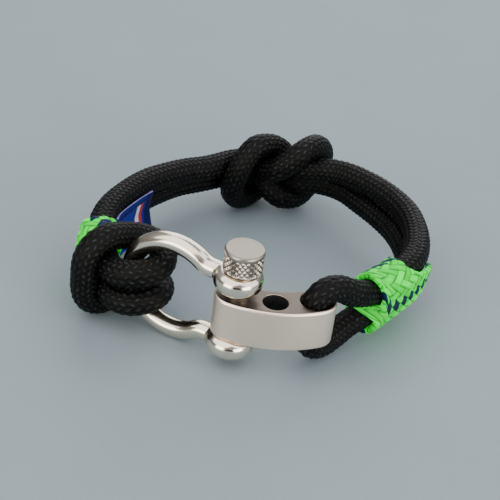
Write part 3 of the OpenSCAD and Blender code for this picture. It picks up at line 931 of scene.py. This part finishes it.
def coat(n, surface, colour, roughness, normal):
    n.feed(surface, **{"Base Color": colour, "Roughness": roughness, "Normal": normal})


def lay_coordinates(n):
    return n.split(n.add("ShaderNodeUVMap", uv_map="Lay").outputs[0])[:2]


# Braid columns from row to row of the tracer's diamonds, and stitches from diamond to diamond.
TRACER_SPACING, DIAMOND_STEP = 12, 2.0
# Half of a diamond across and along the sleeve, and how far it leans along it with each column.
DIAMOND_HIGH, DIAMOND_LONG, DIAMOND_LEAN = 2.2, 0.95, 0.42


def tracer_mask(n, first, second):
    """1 inside the small diamonds of the tracer."""
    column = n.plus(first, second)
    off_row = n.wrapped(column, TRACER_SPACING)
    place = n.plus(n.minus(first, second), n.minus(column, off_row))
    leaning = n.plus(n.wrapped(place, DIAMOND_STEP), n.times(off_row, DIAMOND_LEAN))
    shares = [n.math("DIVIDE", n.math("ABSOLUTE", value), reach)
              for value, reach in ((off_row, DIAMOND_HIGH), (leaning, DIAMOND_LONG))]
    return n.under(n.plus(*shares), 1.0)


def braid_material(name, dark, light, painted_highlight, groove_shade, gloss, shine, painted_glow=0.0, tracer=None):
    """Braided thread: each stitch has its own tone, a painted highlight on its back and painted shade at
    its sides.
    """
    made, n, surface = material(name)
    first, second = lay_coordinates(n)
    stitch = use_group(n, STITCHES, First=first, Second=second)
    tone = n.span(n.plus(stitch["Stitch tone"], n.times(stitch["Fibre"], 1.3)), 0.4, 1.9)
    side = n.math("ABSOLUTE", stitch["Across"])
    end = n.math("ABSOLUTE", stitch["Along"])
    back = n.times(n.span(side, 0.06, 0.24, 1.0, 0.0), n.span(end, 0.1, 0.5, 1.0, 0.0))
    colour = n.mix(tone, dark, light)
    # Painted highlight: the back of each stitch is mixed towards a light colour.
    colour = n.mix(n.times(back, tone), colour, painted_highlight)
    if tracer is not None:
        colour = n.mix(tracer_mask(n, first, second), colour, tracer)
    # Painted shade: each stitch darkens towards black at its sides, in the grooves between stitches.
    groove_shaded = n.mix(n.span(side, 0.3, 0.5, 1.0, groove_shade), (0.0, 0.0, 0.0), colour)
    coat(n, surface, groove_shaded, n.span(stitch["Fibre"], 0.3, 0.7, gloss, gloss + 0.2),
         n.bump(stitch["Fibre"], 0.6, 0.00012))
    surface.inputs["Specular IOR Level"].default_value = shine
    # Painted light: emission makes the thread glow, though it is no lamp.
    if painted_glow > 0:
        n.feed(surface, **{"Emission Color": groove_shaded, "Emission Strength": painted_glow})
    return made


def darker(colour, share):
    return tuple(c * share for c in colour)


def steel(name, colour, roughness, wear):
    """Steel with marks of handling; also its nodes, surface, marks and colour."""
    made, n, surface = material(name)
    surface.inputs["Metallic"].default_value = 1.0
    marks = use_group(n, HANDLED, Roughness=roughness, Wear=wear)
    return made, n, surface, marks, n.mix(marks["Tone"], darker(colour, 0.8), colour)


def metal_material(name, colour, roughness, wear):
    made, n, surface, marks, toned = steel(name, colour, roughness, wear)
    coat(n, surface, toned, marks["Roughness"], marks["Normal"])
    return made


def axis_place(n, axis):
    """Distance from an upright axis given in millimetres, and height, both in metres."""
    shift = (-axis[0] * MM, -axis[1] * MM, 0.0)
    x, y, height = n.split(n.feed(n.add("ShaderNodeMapping"), Vector=n.place(), Location=shift)[0])
    flat = n.plus(n.math("POWER", x, 2.0), n.math("POWER", y, 2.0))
    return n.math("SQRT", flat), height


def bar_material(name, colour, roughness, wear):
    """Polished steel, satin on its top; painted shade on the top, under the ear and in the spare hole, left
    satin as drilled.
    """
    made, n, surface, marks, toned = steel(name, colour, roughness, wear)
    far, _ = axis_place(n, hole_place(SPARE_HOLE) + PIN_AXIS)
    in_spare_hole = n.under(far, (SPARE_R + 0.03) * MM)
    from_pin, height = axis_place(n, PIN_AXIS)
    on_top = n.over(height, (BAR_MID_Z + BAR_HEIGHT / 2 - 0.04) * MM)
    near_ear = n.span(from_pin, EAR_D / 2 * MM, (EAR_D / 2 + 0.5) * MM, 1.0, 0.0)
    # Painted shade: the top face is darkened in colour.
    toned = n.mix(on_top, toned, darker(colour, 0.13))
    # Painted shade: the top face darkens further under the ear, in the gap between ear and bar.
    toned = n.mix(n.times(on_top, near_ear), toned, darker(colour, 0.12))
    # Painted shade: the spare hole's walls are coloured near black; their satin roughness is real.
    toned = n.mix(in_spare_hole, toned, (0.07, 0.07, 0.07))
    satin = n.math("MAXIMUM", n.times(on_top, 0.36), n.times(in_spare_hole, 0.55))
    coat(n, surface, toned, n.math("MAXIMUM", marks["Roughness"], satin), marks["Normal"])
    return made


def turned_material(name, colour, groove_shade_colour):
    """Satin steel whose end face keeps the rings of the lathe, darkened as painted shade, and whose knurl
    grooves get painted shade.
    """
    made, n, surface, marks, toned = steel(name, colour, 0.3, 0.2)
    far, height = axis_place(n, PIN_AXIS)
    ring = n.noise(n.vector(far, 0.0, 0.0), 14000.0, 2.0, 0.6)
    on_top = n.over(height, (KNOB_LOW_Z + KNOB_H - 0.2) * MM)
    on_knurl = n.between(height, (KNOB_LOW_Z + 0.2) * MM, (KNOB_LOW_Z + KNOB_H - 0.7) * MM)
    groove_shaded = n.span(far, (KNOB_R - 0.3) * MM, (KNOB_R - 0.06) * MM, 1.0, 0.0)
    # Painted shade: the end face is darkened, with the lathe's rings in it.
    toned = n.mix(on_top, toned, n.mix(ring, darker(colour, 0.45), darker(colour, 0.75)))
    # Painted shade: the knurl's grooves are coloured darker where they cut deep.
    toned = n.mix(n.times(on_knurl, groove_shaded), toned, groove_shade_colour)
    coat(n, surface, toned, marks["Roughness"], n.bump(n.times(ring, on_top), 0.6, 0.00004))
    return made


# Columns: start and end of the stripe before the label's far end, colour.
STRIPES = [
    (5.6, 4.2, (0.75, 0.76, 0.8)),
    (4.2, 3.1, (0.6, 0.02, 0.03)),
]


def ribbon_material(name, length):
    """Woven ribbon: a fine twill with painted shade in its low threads, navy hems, a painted highlight on
    the selvedge, and a white and a red stripe across it.
    """
    made, n, surface = material(name)
    along, around = lay_coordinates(n)
    twill = n.math("SINE", n.times(n.plus(along, around), 2 * math.pi / 0.42))
    ribs = n.math("SINE", n.times(n.minus(along, around), 2 * math.pi / 0.21))
    weave = n.plus(n.times(twill, 0.35), n.times(ribs, 0.15))
    fuzz = n.noise(n.vector(along, around, 0.0), 9.0, 3.0, 0.6)
    colour = n.mix(n.span(fuzz, 0.3, 0.7), (0.0005, 0.009, 0.24), (0.0015, 0.02, 0.42))
    for first, last, tint in STRIPES:
        colour = n.mix(n.between(along, length - first, length - last), colour, tint)
    colour = n.mix(n.between(around, 2.5, 6.5), colour, (0.0005, 0.008, 0.19))
    colour = n.mix(n.over(along, length - 2.2), colour, (0.001, 0.005, 0.085))
    # Painted highlight: a pale line along the crest's top edge, on the selvedge.
    colour = n.mix(n.between(around, 3.75, 4.0), colour, (0.2, 0.2, 0.42))
    # Painted shade: the weave's low places are mixed towards near black.
    colour = n.mix(n.span(weave, -0.5, 0.5, 0.3, 0.0), colour, (0.0, 0.0, 0.02))
    coat(n, surface, colour, n.span(fuzz, 0.2, 0.8, 0.55, 0.75), n.bump(weave, 0.5, 0.00008))
    surface.inputs["Specular IOR Level"].default_value = 0.2
    return made


def thread_material(name):
    """Dark navy sewing thread."""
    made, n, surface = material(name)
    fibre = n.noise(n.place(), 9000.0, 2.0, 0.6)
    coat(n, surface, n.mix(fibre, (0.001, 0.002, 0.015), (0.004, 0.006, 0.04)),
         n.span(fibre, 0.3, 0.7, 0.5, 0.7), n.bump(fibre, 0.4, 0.00005))
    return made


def finish_piece(piece, made, node, body="bracelet"):
    """Gives a piece its material, hides the CAD node that it stands for, and puts it in its body."""
    piece.data.materials.clear()
    piece.data.materials.append(made)
    if node is not None:
        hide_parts(node)
    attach(piece, body)


black_cord = braid_material("black braid", (0.0001, 0.0001, 0.0001), (0.0014, 0.0014, 0.0014),
                            (0.042, 0.044, 0.046), 0.05, 0.34, 0.13)
green_sleeve = braid_material("green braid", (0.003, 0.45, 0.015), (0.008, 1.0, 0.04), (0.04, 1.0, 0.08),
                              0.22, 0.5, 0.2, 0.34, (0.001, 0.006, 0.045))
bow_steel = metal_material("polished bow", (0.84, 0.765, 0.64), 0.17, 0.08)
bar_steel = bar_material("polished bar", (1.0, 0.84, 0.7), 0.39, 0.12)
pin_steel = turned_material("satin pin", (0.47, 0.42, 0.36), (0.17, 0.155, 0.135))

left_cord = braided_cord("left_cord", LEFT_LOOP, 0.55, 96, 0.25)
finish_piece(left_cord, black_cord, "cord_left")
right_cord = braided_cord("right_cord", RIGHT_LOOP, 1.0, 96, 0.21)
finish_piece(right_cord, black_cord, "cord_right")

left_sleeve = braided_sleeve("left_sleeve", LEFT_UPPER, LEFT_LOWER, 0.15, 1, (0, 0.2, 0), (-0.5, 0, 0),
                             0.185, 0.0)
finish_piece(left_sleeve, green_sleeve, "whipping_left")
right_sleeve = braided_sleeve("right_sleeve", RIGHT_UPPER, RIGHT_LOWER, 0, 2.2, (0, 0, 0),
                              (-1.9, 0.15, 0.8), 0.085, -0.13, (3.5, 4.0, 1.0))
finish_piece(right_sleeve, green_sleeve, "whipping_right")

label, label_length, label_round, label_place, label_far = ribbon_label("label")
label_ribbon = ribbon_material("label ribbon", label_length)
finish_piece(label, label_ribbon, "woven_label")
stitching = label_stitching("label_stitching", label_far, label_place, 9)
finish_piece(stitching, thread_material("hem thread"), None)

bow = forged_bow("bow")
finish_piece(bow, bow_steel, "shackle_bow")
bar = polished_bar("bar")
finish_piece(bar, bar_steel, "adjuster_bar")
pin = knurled_pin("pin_and_knob")
finish_piece(pin, pin_steel, "shackle_pin", "pin")


# Columns: name, place in metres, size, strength, colour.
LAMPS = [
    ("key", (-0.35, -0.25, 0.75), 1.1, 8.0, (1.0, 0.98, 0.95)),
    ("fill", (0.6, -0.2, 0.5), 0.9, 4.5, (0.95, 0.98, 1.0)),
    ("back", (0.1, 0.7, 0.45), 0.9, 6.0, (1.0, 1.0, 1.0)),
    ("front left", (-0.5, -0.6, 0.1), 0.5, 5.0, (1.0, 0.93, 0.84)),
    ("front right", (0.5, -0.6, 0.1), 0.5, 5.0, (1.0, 0.93, 0.84)),
]
LAMP_AIM = Vector((0, 0, 0.01))
FLOOR_HALF = 3000
# The camera's place in metres, its dip under the level and its roll in degrees, its lens and film.
CAMERA_PLACE, CAMERA_DIP, CAMERA_ROLL = (-0.00071, -0.20884, 0.14193), 33.2, 8.0
CAMERA_LENS, CAMERA_FILM = 93.6, 36.0


def lay_floor():
    corners = np.array([(-1, -1, 0), (1, -1, 0), (1, 1, 0), (-1, 1, 0)])
    floor = new_mesh("floor", FLOOR_HALF * corners, [[0, 1, 2, 3]])
    pale, n, surface = material("pale floor")
    colour = n.mix(n.noise(n.place(), 40.0, 3.0), (0.2, 0.255, 0.29), (0.23, 0.285, 0.32))
    n.feed(surface, **{"Base Color": colour, "Roughness": 0.7})
    floor.data.materials.append(pale)


def hang_lamps():
    for name, spot, size, strength, colour in LAMPS:
        lamp = bpy.data.lights.new(name, "AREA")
        lamp.energy, lamp.size, lamp.color = strength, size, colour
        holder = add_object(name, lamp)
        holder.location = spot
        holder.rotation_mode = "QUATERNION"
        holder.rotation_quaternion = (Vector(spot) - LAMP_AIM).to_track_quat("Z", "Y")


def light_room():
    """Pale walls that brighten upward, with a dark doorway behind the camera for the steel to mirror."""
    world = bpy.data.worlds.new("room")
    world.use_nodes = True
    n = Nodes(world.node_tree)
    x, y, z = n.split(n.place("Generated"))
    walls = n.mix(n.span(z, 0.05, 0.75), (0.3, 0.3, 0.3), (0.85, 0.85, 0.84))
    middle, high = n.span(n.math("ABSOLUTE", x), 0.36, 0.4, 1.0, 0.0), n.span(z, 0.3, 0.36, 1.0, 0.0)
    doorway = n.times(n.times(middle, high), n.under(y, 0.0))
    background = world.node_tree.nodes["Background"]
    n.feed(background, Color=n.mix(doorway, walls, (0.01, 0.01, 0.01)), Strength=0.5)
    bpy.context.scene.world = world


def place_camera():
    lens = bpy.data.cameras.new("camera")
    lens.lens, lens.sensor_width = CAMERA_LENS, CAMERA_FILM
    lens.clip_start, lens.clip_end = 0.01, 20.0
    camera = add_object("camera", lens)
    camera.matrix_world = (Matrix.Translation(CAMERA_PLACE)
                           @ Matrix.Rotation(math.radians(90 - CAMERA_DIP), 4, "X")
                           @ Matrix.Rotation(math.radians(CAMERA_ROLL), 4, "Z"))
    bpy.context.scene.camera = camera


lay_floor()
hang_lamps()
light_room()
place_camera()
